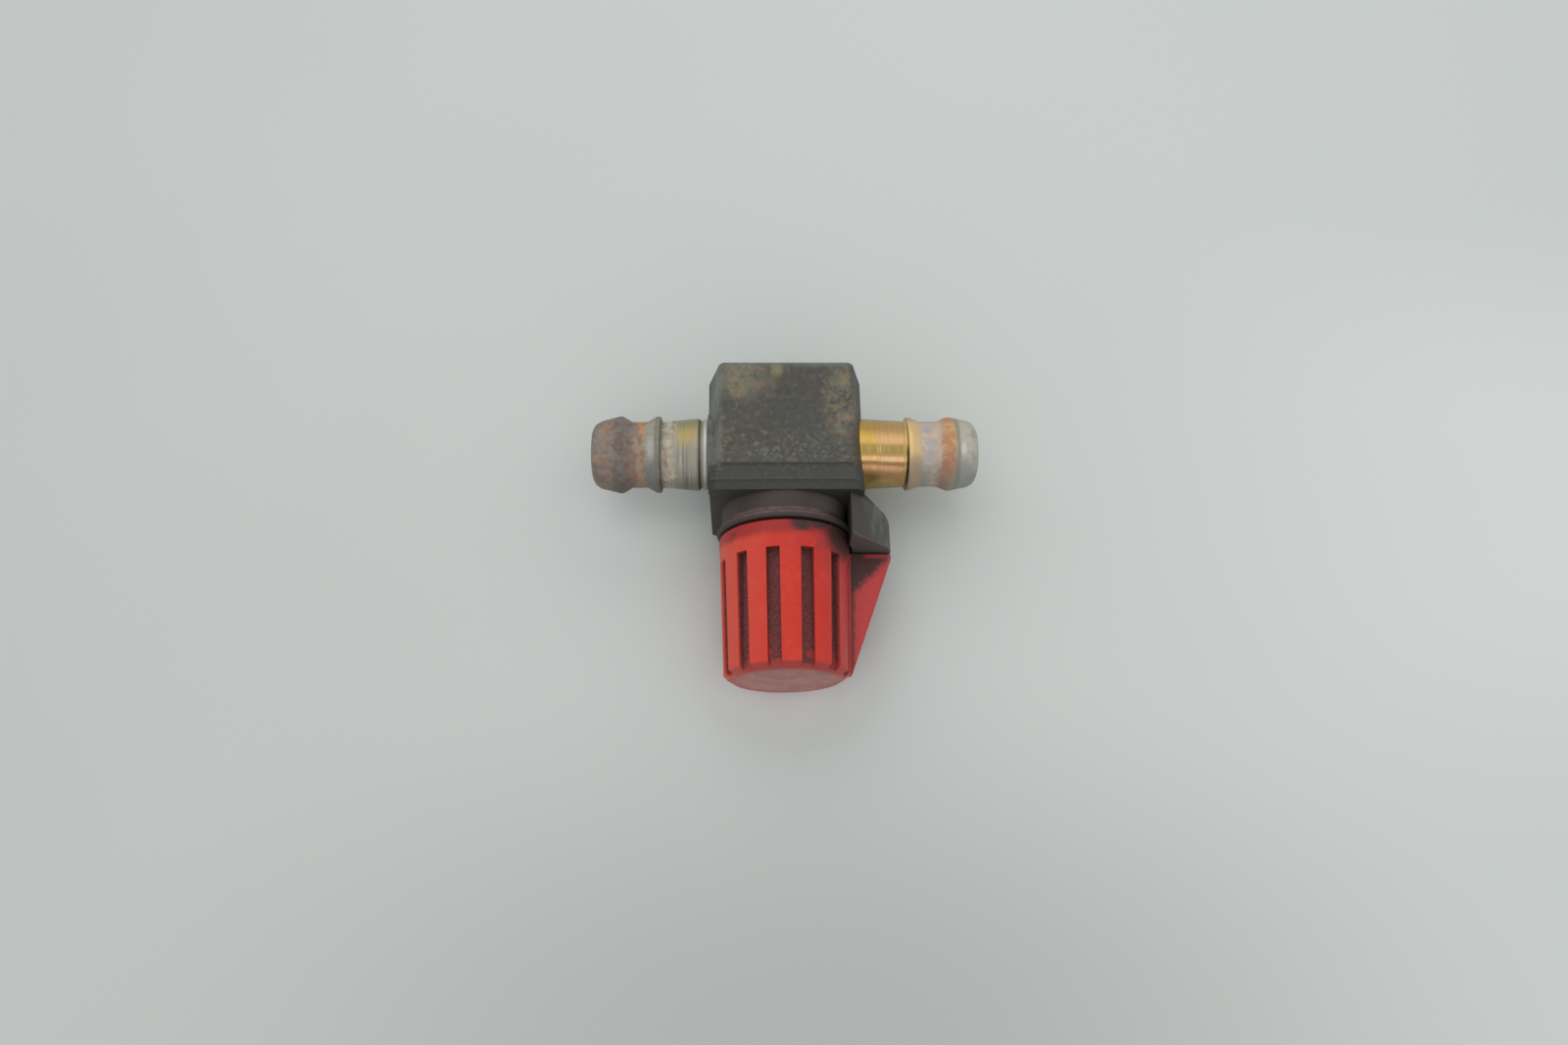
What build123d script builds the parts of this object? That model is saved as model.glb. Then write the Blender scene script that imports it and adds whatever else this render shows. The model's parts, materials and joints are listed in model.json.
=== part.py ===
from build123d import *
import math
import os

# Main axes: the pipe runs along X, the spindle along Y with the knob towards -Y
axis_height = 15.2
spindle = Plane(origin=(0, 0, axis_height), x_dir=(1, 0, 0), z_dir=(0, -1, 0))
spindle_half = Plane(origin=(0, 0, axis_height), x_dir=(1, 0, 0), z_dir=(0, 0, -1))
spindle_axis = Axis((0, 0, axis_height), (0, -1, 0))
pipe = Plane(origin=(0, 0, axis_height), x_dir=(0, 1, 0), z_dir=(1, 0, 0))
pipe_axis = Axis((0, 0, axis_height), (1, 0, 0))

# Clearances
running = 0.05
free = 0.3
press = 0.02
seal_slack = 0.02

# Moulded block, lengths along the spindle counted from the pipe axis towards the knob
pipe_shift = 0.5
block_back = 15.5
block_top_half = 14.5
block_mid_half = 17.1
block_waist = 4.8
block_edge = 1.4
block_side_edge = 2.0
back_edge = 0.4
flange_left = 16.2
flange_right = 16.4
flange_front_right = 16.9
flange_corner = 1.4
flange_start = 8.4
flange_line = 11.95
flange_front = 14.2
flange_drop = 0.5
flange_second_drop = 0.9
boss_radius = 9.0
collar_root_radius = 14.0
collar_radius = 13.5
collar_front = 20.2
lip_radius = 14.75
lip_length = 1.4
lip_edge = 0.35

# Turned hose tails
flow_radius = 5.3
spigot_radius = 7.48
spigot_end = 12.2
left_reach = 16.8
right_reach = 15.5
shoulder_radius = 7.95
shoulder_width = 1.0
relief_depth = 0.5
relief_width = 0.7
base_radius = 8.15
neck_radius = 7.42
left_ridge_radius = 8.6
right_ridge_radius = 8.3
ridge_land = 0.9
ridge_foot = 0.3
left_rear_ridge = 27.1
right_rear_ridge = 27.4
left_front_ridge = 35.9
right_front_ridge = 37.0
ridge_slope = 2.1
left_end = 42.55
right_end = 43.55
nose_radius = 7.55
nose_round = 1.8
nose_bend = 0.37
tail_seal_groove = 1.9
tail_seal_inset = 1.7
tail_seal_depth = 1.35

# Seats and plug
seat_outer = 6.9
seat_wall = 1.45
seat_back = 10.85
plug_radius = 9.5
plug_low = 9.4
plug_high = 8.6
plug_edge = 0.6
pivot_radius = 4.0
pivot_length = 2.8
stem_radius = 5.0
stem_groove = 1.9
stem_groove_depth = 1.35
stem_seal_inner_at = 14.2
stem_seal_outer_at = 19.4
washer_thickness = 1.0
washer_radius = 9.0
end_play = 0.1

# Bonnet
bonnet_radius = 10.8
bonnet_flange_radius = 13.4
bonnet_seat = 19.1
bonnet_flange_front = 20.1
bonnet_edge = 0.4
neck_outer = 9.3
neck_front = 28.6
bonnet_groove_at = 11.6
bonnet_groove = 1.9
bonnet_groove_depth = 1.35
wrench_notch = 2.4
stop_half_angle = 8
stop_length = 3.4
stop_outer = 11.3
stop_root = 1.0

# Knob
rim_radius = 14.3
knob_end_radius = 13.4
rim_gap = 0.6
knob_length = 31.4
knob_end_round = 1.2
knob_end_drop = 1.8
rim_edge = 0.4
mouth_wall = 2.1
mouth_depth = 5.0
cavity_radius = 10.0
end_wall = 2.6
hub_radius = 7.2
hub_start = 31.2
rib_count = 12
slot_width = 2.9
slot_floor = 11.9
slot_setback = 6.0
slot_end_web = 0.4
pointer_lean = 2.9
pointer_reach = 23.3
pointer_land = 1.0
pointer_thick = 3.8
pointer_edge = 0.7
pointer_foot = 0.5
pointer_root = 0.6
knob_lug_half_angle = 10
knob_lug_length = 2.6
lug_overlap = 1.2
quarter_turn = 90
stop_clear_angle = 1

# Spindle drive
drive_radius = 4.4
drive_flat = 3.2
drive_length = 12.5
drive_edge = 0.5
spring_pocket = 1.2
spring_width = 4.6
spring_length = 9.0
spring_thick = 0.4

# Ear beside the knob rim
ear_inner = 13.8
ear_half_height = 13.3
ear_nose_half = 3.8
ear_shoulder = 22.2
ear_reach = 23.3
ear_rear = 13.4
ear_slope = 2.7
ear_bend = 4.0
ear_corner = 5.2
ear_front = 23.7
ear_gap = 0.6

# Lengths that follow from the ones above
socket_radius = spigot_radius + press
chamber_radius = plug_radius + free
seat_pocket_radius = seat_outer + seal_slack
seat_bore = seat_outer - seat_wall
tail_seal_at = spigot_end + tail_seal_inset
chamber_floor = -(plug_low + free)
pivot_floor = chamber_floor - pivot_length
bonnet_start = plug_high + washer_thickness + end_play
bonnet_socket_radius = bonnet_radius + press
bonnet_bore = stem_radius + running
rim = bonnet_flange_front + rim_gap
knob_end = rim + knob_length
mouth_radius = rim_radius - mouth_wall
mouth_end = rim + mouth_depth
cavity_end = knob_end - end_wall
slot_start = rim + slot_setback
slot_end = knob_end - slot_end_web
pointer_angle = -pointer_lean
pointer_start = ear_front + ear_gap
pocket_radius = rim_radius + 2 * free
drive_start = hub_start - free
drive_end = drive_start + drive_length
lug_inner = stop_outer - lug_overlap
stop_spacing = knob_lug_half_angle + stop_clear_angle + stop_half_angle


def tail_outline(side, reach, base, rear, front, end, ridge_radius):
    """Half section of a hose tail as (along the pipe, radius), for side -1 or +1."""
    groove_low = spigot_radius - tail_seal_depth
    points = [
        (spigot_end, flow_radius),
        (spigot_end, spigot_radius),
        (tail_seal_at - tail_seal_groove / 2, spigot_radius),
        (tail_seal_at - tail_seal_groove / 2, groove_low),
        (tail_seal_at + tail_seal_groove / 2, groove_low),
        (tail_seal_at + tail_seal_groove / 2, spigot_radius),
        (reach, spigot_radius),
        *base,
        (rear, neck_radius),
        (rear + ridge_foot, ridge_radius),
        (rear + ridge_foot + ridge_land, ridge_radius),
        (rear + ridge_foot + ridge_land + ridge_slope, neck_radius),
        (front - ridge_slope, neck_radius),
        (front, ridge_radius),
        (front + ridge_land, ridge_radius),
        (end - nose_round, nose_radius),
        (end - nose_bend * nose_round, nose_radius - nose_bend * nose_round),
        (end, nose_radius - nose_round),
        (end, flow_radius),
    ]
    return [(side * x, r) for x, r in points]


# Ear that the pointer lines up with
with BuildPart() as ear:
    with BuildSketch(spindle.offset(ear_rear)):
        with BuildLine():
            lower = Polyline(
                (block_top_half / 2, -ear_half_height),
                (ear_inner, -ear_half_height),
                (ear_shoulder, -ear_nose_half),
            )
            nose = ThreePointArc(lower @ 1, (ear_reach, 0), (ear_shoulder, ear_nose_half))
            Polyline(
                nose @ 1,
                (ear_inner, ear_half_height),
                (block_top_half / 2, ear_half_height),
                lower @ 0,
            )
        make_face()
    extrude(amount=ear_front - ear_rear)
    with BuildSketch(Plane.XY):
        with BuildLine():
            Polyline(
                (0, -ear_rear),
                (flange_front_right, -ear_rear),
                (ear_shoulder - free, -ear_rear - ear_slope),
                (ear_reach - free, -ear_rear - ear_bend),
                (ear_reach + free, -ear_rear - ear_corner),
                (ear_reach + free, -ear_front),
                (0, -ear_front),
                close=True,
            )
        make_face()
    extrude(amount=2 * axis_height, mode=Mode.INTERSECT)
    with BuildSketch(spindle.offset(flange_front)):
        with Locations((ear_inner / 2, 0)):
            Rectangle(ear_inner, 2 * axis_height)
    extrude(amount=ear_front - flange_front, mode=Mode.SUBTRACT)
    with BuildSketch(spindle.offset(collar_front)):
        Circle(pocket_radius)
    extrude(amount=ear_front - collar_front, mode=Mode.SUBTRACT)

# Moulded body
with BuildPart() as valve_body:
    with BuildSketch(spindle.offset(-block_back)) as block_section:
        with BuildLine():
            Polyline(
                (pipe_shift + block_top_half, -axis_height),
                (pipe_shift + block_mid_half, -block_waist),
                (pipe_shift + block_mid_half, block_waist),
                (pipe_shift + block_top_half, axis_height),
                (pipe_shift - block_top_half, axis_height),
                (pipe_shift - block_mid_half, block_waist),
                (pipe_shift - block_mid_half, -block_waist),
                (pipe_shift - block_top_half, -axis_height),
                close=True,
            )
        make_face()
        rows = block_section.vertices().group_by(Axis.Y)
        fillet(rows[0] + rows[-1], block_edge)
        corners = block_section.vertices().sort_by(Axis.X)
        fillet(corners[:2] + corners[-2:], block_side_edge)
    extrude(amount=block_back + flange_start)
    chamfer(valve_body.faces().sort_by(Axis.Y)[-1].edges(), back_edge)
    for start, end, drop, right in (
        (flange_start, flange_line, flange_drop, flange_right),
        (flange_line, flange_front, flange_second_drop, flange_front_right),
    ):
        with BuildSketch(spindle.offset(start)) as flange:
            with Locations(((right - flange_left) / 2, -drop / 2)):
                Rectangle(flange_left + right, 2 * axis_height - drop)
            chamfer(flange.vertices(), flange_corner)
        extrude(amount=end - start)
    with BuildSketch(pipe.offset(-left_reach)):
        Circle(boss_radius)
    extrude(amount=left_reach)
    with BuildSketch(spindle_half):
        with BuildLine():
            Polyline(
                (0, flange_start),
                (collar_root_radius, flange_start),
                (collar_root_radius, flange_front),
                (collar_radius, collar_front - lip_length - lip_edge),
                (lip_radius - lip_edge, collar_front - lip_length),
                (lip_radius, collar_front - lip_length + lip_edge),
                (lip_radius, collar_front - lip_edge),
                (lip_radius - lip_edge, collar_front),
                (0, collar_front),
                close=True,
            )
        make_face()
    revolve(axis=spindle_axis)
    add(ear.part)
    for start, end, radius in (
        (chamber_floor, bonnet_start, chamber_radius),
        (pivot_floor, chamber_floor, pivot_radius + running),
        (bonnet_start, bonnet_seat, bonnet_socket_radius),
        (bonnet_seat, collar_front, bonnet_flange_radius + press),
    ):
        with BuildSketch(spindle.offset(start)):
            Circle(radius)
        extrude(amount=end - start, mode=Mode.SUBTRACT)
    with BuildSketch(pipe.offset(-spigot_end)):
        Circle(seat_pocket_radius)
    extrude(amount=2 * spigot_end, mode=Mode.SUBTRACT)
    for start, end, radius in (
        (-left_reach, -spigot_end, socket_radius),
        (spigot_end, right_reach, socket_radius),
        (right_reach, pipe_shift + block_mid_half, base_radius + press),
    ):
        with BuildSketch(pipe.offset(start)):
            Circle(radius)
        extrude(amount=end - start, mode=Mode.SUBTRACT)

# Hose tails
face = left_reach + shoulder_width
left_base = [
    (left_reach, shoulder_radius),
    (face, shoulder_radius),
    (face, base_radius - relief_depth),
    (face + relief_width, base_radius - relief_depth),
    (face + relief_width + ridge_foot, base_radius),
]
left_lengths = (left_rear_ridge, left_front_ridge, left_end, left_ridge_radius)
with BuildPart() as left_hose_tail:
    with BuildSketch(spindle):
        with BuildLine():
            Polyline(*tail_outline(-1, left_reach, left_base, *left_lengths), close=True)
        make_face()
    revolve(axis=pipe_axis)

right_base = [(right_reach, base_radius)]
right_lengths = (right_rear_ridge, right_front_ridge, right_end, right_ridge_radius)
with BuildPart() as right_hose_tail:
    with BuildSketch(spindle):
        with BuildLine():
            Polyline(*tail_outline(1, right_reach, right_base, *right_lengths), close=True)
        make_face()
    revolve(axis=pipe_axis)

# O-rings on the spigots
tail_seal_section = (tail_seal_depth + press - 2 * seal_slack) / 2
tail_seal_ring = spigot_radius - tail_seal_depth + seal_slack + tail_seal_section

with BuildPart() as left_tail_seal:
    with BuildSketch(spindle):
        with Locations((-tail_seal_at, tail_seal_ring)):
            Circle(tail_seal_section)
    revolve(axis=pipe_axis)

with BuildPart() as right_tail_seal:
    with BuildSketch(spindle):
        with Locations((tail_seal_at, tail_seal_ring)):
            Circle(tail_seal_section)
    revolve(axis=pipe_axis)

# Seat rings hollowed to the plug
with BuildPart() as left_seat:
    with BuildSketch(pipe.offset(-seat_back)):
        Circle(seat_outer)
        Circle(seat_bore, mode=Mode.SUBTRACT)
    extrude(amount=seat_back)
    with BuildSketch(spindle.offset(-block_back)):
        Circle(plug_radius + running)
    extrude(amount=2 * block_back, mode=Mode.SUBTRACT)

with BuildPart() as right_seat:
    with BuildSketch(pipe.offset(seat_back)):
        Circle(seat_outer)
        Circle(seat_bore, mode=Mode.SUBTRACT)
    extrude(amount=-seat_back)
    with BuildSketch(spindle.offset(-block_back)):
        Circle(plug_radius + running)
    extrude(amount=2 * block_back, mode=Mode.SUBTRACT)

# Rubber rings behind the seats
seat_ring_start = seat_back + seal_slack
seat_ring_end = spigot_end - seal_slack

with BuildPart() as left_seat_ring:
    with BuildSketch(pipe.offset(-seat_ring_end)):
        Circle(seat_outer)
        Circle(seat_bore, mode=Mode.SUBTRACT)
    extrude(amount=seat_ring_end - seat_ring_start)

with BuildPart() as right_seat_ring:
    with BuildSketch(pipe.offset(seat_ring_start)):
        Circle(seat_outer)
        Circle(seat_bore, mode=Mode.SUBTRACT)
    extrude(amount=seat_ring_end - seat_ring_start)

# Plug with its spindle
stem_low = stem_radius - stem_groove_depth
with BuildPart() as plug:
    with BuildSketch(spindle_half):
        with BuildLine():
            Polyline(
                (0, pivot_floor + free),
                (pivot_radius, pivot_floor + free),
                (pivot_radius, -plug_low),
                (plug_radius - plug_edge, -plug_low),
                (plug_radius, -plug_low + plug_edge),
                (plug_radius, plug_high - plug_edge),
                (plug_radius - plug_edge, plug_high),
                (stem_radius, plug_high),
                (stem_radius, stem_seal_inner_at - stem_groove / 2),
                (stem_low, stem_seal_inner_at - stem_groove / 2),
                (stem_low, stem_seal_inner_at + stem_groove / 2),
                (stem_radius, stem_seal_inner_at + stem_groove / 2),
                (stem_radius, stem_seal_outer_at - stem_groove / 2),
                (stem_low, stem_seal_outer_at - stem_groove / 2),
                (stem_low, stem_seal_outer_at + stem_groove / 2),
                (stem_radius, stem_seal_outer_at + stem_groove / 2),
                (stem_radius, drive_start),
                (drive_radius, drive_start),
                (drive_radius, drive_end - drive_edge),
                (drive_radius - drive_edge, drive_end),
                (0, drive_end),
                close=True,
            )
        make_face()
    revolve(axis=spindle_axis)
    with BuildSketch(pipe.offset(-block_mid_half)):
        Circle(flow_radius)
    extrude(amount=2 * block_mid_half, mode=Mode.SUBTRACT)
    with BuildSketch(spindle.offset(drive_start)):
        with PolarLocations(drive_flat + drive_radius, 2, start_angle=pointer_angle + quarter_turn):
            Rectangle(2 * drive_radius, 2 * drive_radius)
    extrude(amount=drive_length, mode=Mode.SUBTRACT)

# O-rings on the spindle
stem_seal_section = (stem_groove_depth + running - 2 * seal_slack) / 2
stem_seal_ring = stem_low + seal_slack + stem_seal_section

with BuildPart() as stem_seal_inner:
    with BuildSketch(spindle_half):
        with Locations((stem_seal_ring, stem_seal_inner_at)):
            Circle(stem_seal_section)
    revolve(axis=spindle_axis)

with BuildPart() as stem_seal_outer:
    with BuildSketch(spindle_half):
        with Locations((stem_seal_ring, stem_seal_outer_at)):
            Circle(stem_seal_section)
    revolve(axis=spindle_axis)

# Washer between the plug and the bonnet
with BuildPart() as thrust_washer:
    with BuildSketch(spindle.offset(plug_high + end_play / 2)):
        Circle(washer_radius)
        Circle(stem_radius + free, mode=Mode.SUBTRACT)
    extrude(amount=washer_thickness)

# Bonnet that closes the body and guides the spindle
with BuildPart() as bonnet:
    with BuildSketch(spindle_half):
        with BuildLine():
            Polyline(
                (bonnet_bore, bonnet_start),
                (bonnet_radius, bonnet_start),
                (bonnet_radius, bonnet_groove_at - bonnet_groove / 2),
                (bonnet_radius - bonnet_groove_depth, bonnet_groove_at - bonnet_groove / 2),
                (bonnet_radius - bonnet_groove_depth, bonnet_groove_at + bonnet_groove / 2),
                (bonnet_radius, bonnet_groove_at + bonnet_groove / 2),
                (bonnet_radius, bonnet_seat),
                (bonnet_flange_radius, bonnet_seat),
                (bonnet_flange_radius, bonnet_flange_front - bonnet_edge),
                (bonnet_flange_radius - bonnet_edge, bonnet_flange_front),
                (neck_outer, bonnet_flange_front),
                (neck_outer, neck_front - bonnet_edge),
                (neck_outer - bonnet_edge, neck_front),
                (bonnet_bore, neck_front),
                close=True,
            )
        make_face()
    revolve(axis=spindle_axis)
    with BuildSketch(spindle.offset(bonnet_seat)):
        with PolarLocations(bonnet_flange_radius, 2, start_angle=quarter_turn / 2):
            Rectangle(wrench_notch, wrench_notch)
    extrude(amount=bonnet_flange_front - bonnet_seat, mode=Mode.SUBTRACT)
    stop_angles = (
        pointer_angle + 180 - stop_spacing,
        pointer_angle + 180 + quarter_turn + stop_spacing,
    )
    stop_width = 2 * neck_outer * math.sin(math.radians(stop_half_angle))
    stop_radial = stop_outer - neck_outer + stop_root
    for angle in stop_angles:
        with BuildSketch(spindle.offset(bonnet_flange_front)):
            with PolarLocations(stop_outer - stop_radial / 2, 1, start_angle=angle):
                Rectangle(stop_radial, stop_width)
        extrude(amount=stop_length)

# O-ring between bonnet and body
bonnet_seal_section = (bonnet_groove_depth + press - 2 * seal_slack) / 2
with BuildPart() as bonnet_seal:
    with BuildSketch(spindle_half):
        with Locations(
            (bonnet_radius - bonnet_groove_depth + seal_slack + bonnet_seal_section, bonnet_groove_at)
        ):
            Circle(bonnet_seal_section)
    revolve(axis=spindle_axis)

# Pointer fin of the knob, in the plane of one rib
lean = math.radians(pointer_angle)
pointer_plane = Plane(
    origin=(0, 0, axis_height),
    x_dir=(math.cos(lean), 0, math.sin(lean)),
    z_dir=(math.sin(lean), 0, -math.cos(lean)),
)
with BuildPart() as pointer:
    with BuildSketch(pointer_plane.offset(-pointer_thick / 2)):
        with BuildLine():
            Polyline(
                (mouth_radius + pointer_root, pointer_start),
                (pointer_reach, pointer_start),
                (pointer_reach, pointer_start + pointer_land),
                (knob_end_radius + pointer_foot, knob_end - knob_end_round),
                (mouth_radius + pointer_root, knob_end - knob_end_round),
                close=True,
            )
        make_face()
    extrude(amount=pointer_thick)
    long_edges = pointer.edges().sort_by(SortBy.LENGTH)[-4:]
    chamfer(long_edges.sort_by(Axis.X)[-2:], pointer_edge)

# Knob with its ribs
with BuildPart() as knob:
    with BuildSketch(spindle_half):
        with BuildLine():
            Polyline(
                (mouth_radius, rim),
                (rim_radius - rim_edge, rim),
                (rim_radius, rim + rim_edge),
                (knob_end_radius, knob_end - knob_end_round),
                (knob_end_radius - knob_end_drop, knob_end),
                (0, knob_end),
                (0, hub_start),
                (hub_radius, hub_start),
                (hub_radius, cavity_end),
                (cavity_radius, cavity_end),
                (cavity_radius, mouth_end),
                (mouth_radius, mouth_end),
                close=True,
            )
        make_face()
    revolve(axis=spindle_axis)
    slot_depth = rim_radius - slot_floor + 1
    with BuildSketch(spindle.offset(slot_start)):
        with PolarLocations(
            slot_floor + slot_depth / 2, rib_count, start_angle=pointer_angle + 180 / rib_count
        ):
            Rectangle(slot_depth, slot_width)
    extrude(amount=slot_end - slot_start, mode=Mode.SUBTRACT)
    add(pointer.part)
    lug_width = 2 * lug_inner * math.sin(math.radians(knob_lug_half_angle))
    lug_radial = mouth_radius - lug_inner + pointer_root
    with BuildSketch(spindle.offset(rim + rim_edge)):
        with PolarLocations(lug_inner + lug_radial / 2, 1, start_angle=pointer_angle + 180):
            Rectangle(lug_radial, lug_width)
    extrude(amount=knob_lug_length)
    with BuildSketch(spindle.offset(hub_start)):
        with Locations(Rotation(0, 0, pointer_angle)):
            Circle(drive_radius + running)
            Rectangle(2 * hub_radius, 2 * (drive_flat + running), mode=Mode.INTERSECT)
            with Locations((0, drive_flat + spring_pocket / 2)):
                Rectangle(spring_width + 2 * free, spring_pocket + 2 * running)
    extrude(amount=drive_end + free - hub_start, mode=Mode.SUBTRACT)

# Leaf spring between the spindle flat and the hub
spring_plane = Plane(
    origin=(0, 0, axis_height),
    x_dir=(0, -1, 0),
    z_dir=(-math.cos(lean), 0, -math.sin(lean)),
)
with BuildPart() as knob_spring:
    with BuildSketch(spring_plane.offset(-spring_width / 2)):
        with BuildLine():
            spring_from = drive_start + (drive_length - spring_length) / 2
            spring_to = spring_from + spring_length
            low = drive_flat + seal_slack
            high = drive_flat + spring_pocket - seal_slack
            outer_bow = ThreePointArc(
                (spring_from, low + spring_thick), ((spring_from + spring_to) / 2, high),
                (spring_to, low + spring_thick),
            )
            Line(outer_bow @ 1, (spring_to, low))
            inner_bow = ThreePointArc(
                (spring_to, low), ((spring_from + spring_to) / 2, high - spring_thick), (spring_from, low)
            )
            Line(inner_bow @ 1, outer_bow @ 0)
        make_face()
    extrude(amount=spring_width)

# Export
valve_body.part.label = "valve_body"
left_hose_tail.part.label = "left_hose_tail"
right_hose_tail.part.label = "right_hose_tail"
left_tail_seal.part.label = "left_tail_seal"
right_tail_seal.part.label = "right_tail_seal"
left_seat.part.label = "left_seat"
right_seat.part.label = "right_seat"
left_seat_ring.part.label = "left_seat_ring"
right_seat_ring.part.label = "right_seat_ring"
plug.part.label = "plug"
stem_seal_inner.part.label = "stem_seal_inner"
stem_seal_outer.part.label = "stem_seal_outer"
thrust_washer.part.label = "thrust_washer"
bonnet.part.label = "bonnet"
bonnet_seal.part.label = "bonnet_seal"
knob.part.label = "knob"
knob_spring.part.label = "knob_spring"

os.makedirs("parts", exist_ok=True)
export_step(valve_body.part, "parts/valve_body.step")
export_step(left_hose_tail.part, "parts/left_hose_tail.step")
export_step(right_hose_tail.part, "parts/right_hose_tail.step")
export_step(left_tail_seal.part, "parts/left_tail_seal.step")
export_step(right_tail_seal.part, "parts/right_tail_seal.step")
export_step(left_seat.part, "parts/left_seat.step")
export_step(right_seat.part, "parts/right_seat.step")
export_step(left_seat_ring.part, "parts/left_seat_ring.step")
export_step(right_seat_ring.part, "parts/right_seat_ring.step")
export_step(plug.part, "parts/plug.step")
export_step(stem_seal_inner.part, "parts/stem_seal_inner.step")
export_step(stem_seal_outer.part, "parts/stem_seal_outer.step")
export_step(thrust_washer.part, "parts/thrust_washer.step")
export_step(bonnet.part, "parts/bonnet.step")
export_step(bonnet_seal.part, "parts/bonnet_seal.step")
export_step(knob.part, "parts/knob.step")
export_step(knob_spring.part, "parts/knob_spring.step")
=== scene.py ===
"""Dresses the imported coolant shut-off valve: worn moulded body, turned hose tails, red knob and stage."""

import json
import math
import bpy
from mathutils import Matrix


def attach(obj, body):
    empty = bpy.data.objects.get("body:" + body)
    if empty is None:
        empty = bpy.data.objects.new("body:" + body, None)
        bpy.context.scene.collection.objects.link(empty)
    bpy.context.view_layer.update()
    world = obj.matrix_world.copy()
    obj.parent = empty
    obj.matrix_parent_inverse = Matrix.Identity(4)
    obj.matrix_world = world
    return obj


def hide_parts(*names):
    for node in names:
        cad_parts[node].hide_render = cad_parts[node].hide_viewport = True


bl_info = {
    "name": "Coolant shut-off valve",
    "version": (1, 0, 0),
    "blender": (4, 5, 0),
    "location": "3D View > Sidebar > Valve",
    "description": "Builds the visible pieces of a worn coolant shut-off valve on its CAD frame",
    "category": "Object",
}

import bmesh
import bpy
from mathutils import Matrix, Vector, noise

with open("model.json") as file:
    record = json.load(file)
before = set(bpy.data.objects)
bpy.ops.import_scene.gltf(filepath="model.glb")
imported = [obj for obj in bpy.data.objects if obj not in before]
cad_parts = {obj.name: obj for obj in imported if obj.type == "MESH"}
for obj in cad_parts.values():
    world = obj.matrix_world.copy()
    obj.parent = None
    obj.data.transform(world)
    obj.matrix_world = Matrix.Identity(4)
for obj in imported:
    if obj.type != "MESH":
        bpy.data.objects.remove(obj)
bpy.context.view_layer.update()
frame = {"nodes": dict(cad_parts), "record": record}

# Unit and bodies
MM = 0.001
HOUSING = "housing"
TURNING = "turning_set"

# Height of the pipe and spindle axes, in millimetres
AXIS = 15.2

# Rounding of the moulded pieces
MERGE_DISTANCE = 0.002 * MM
FLAT_ANGLE = math.radians(0.5)
SHARP_ANGLE = math.radians(28)
BEVEL_SEGMENTS = 3
FACE_WEIGHT = 80

# Turning of the tails
AROUND = 168
SPACING = 0.24 * MM
EDGE_CUT = 0.16 * MM
SECOND_CUT = 0.4
LONGEST_CUT = 0.3
NOSE_BEND = 0.37
BORE_MARGIN = 0.05 * MM

# Corrosion of the tails: its strength, and where it starts and spreads, in millimetres
LEFT_CORROSION = 1.0
RIGHT_CORROSION = 0.22
RUST_START = 18.5
RUST_RISE = 30.0
RUST_SPREAD = 6.0
RUST_LEAST = 0.12

# Noise of the corrosion: scales per millimetre and depths in millimetres
COARSE_SCALE = 0.45
FINE_SCALE = 1.9
PIT_SCALE = 0.8
PIT_SHIFT = Vector((7, 3, 1))
PIT_START = 0.35
COARSE_DEPTH = 0.10
FINE_DEPTH = 0.035
PIT_DEPTH = 0.38

# Nick in the left nose
NICK_ANGLE = math.radians(20)
NICK_WIDTH = math.radians(9)
NICK_DEPTH = 0.55 * MM
NICK_LENGTH = 2.2 * MM

# Stage
PHOTO_WIDTH = 1600
SENSOR_WIDTH = 36
NEAR_CLIP = 0.01
FLOOR_HALF = 1.5
LIGHT_AIM = Vector((0, -0.015, 0.015))
SKY_COLOUR = (0.86, 0.90, 0.90, 1)
SKY_STRENGTH = 0.65


def hue(title, words, red, green, blue):
    """A colour that a user may change."""
    return bpy.props.FloatVectorProperty(
        name=title, description=words, subtype="COLOR", size=3, min=0, max=1, default=(red, green, blue)
    )


def span(title, words, millimetres):
    """A length that a user may change, kept in metres."""
    return bpy.props.FloatProperty(
        name=title, description=words, subtype="DISTANCE", unit="LENGTH", default=millimetres * MM
    )


def angle_property(title, words, degrees):
    """An angle that a user may change, kept in radians."""
    turn = math.radians(degrees)
    return bpy.props.FloatProperty(name=title, description=words, subtype="ANGLE", default=turn)


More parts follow.
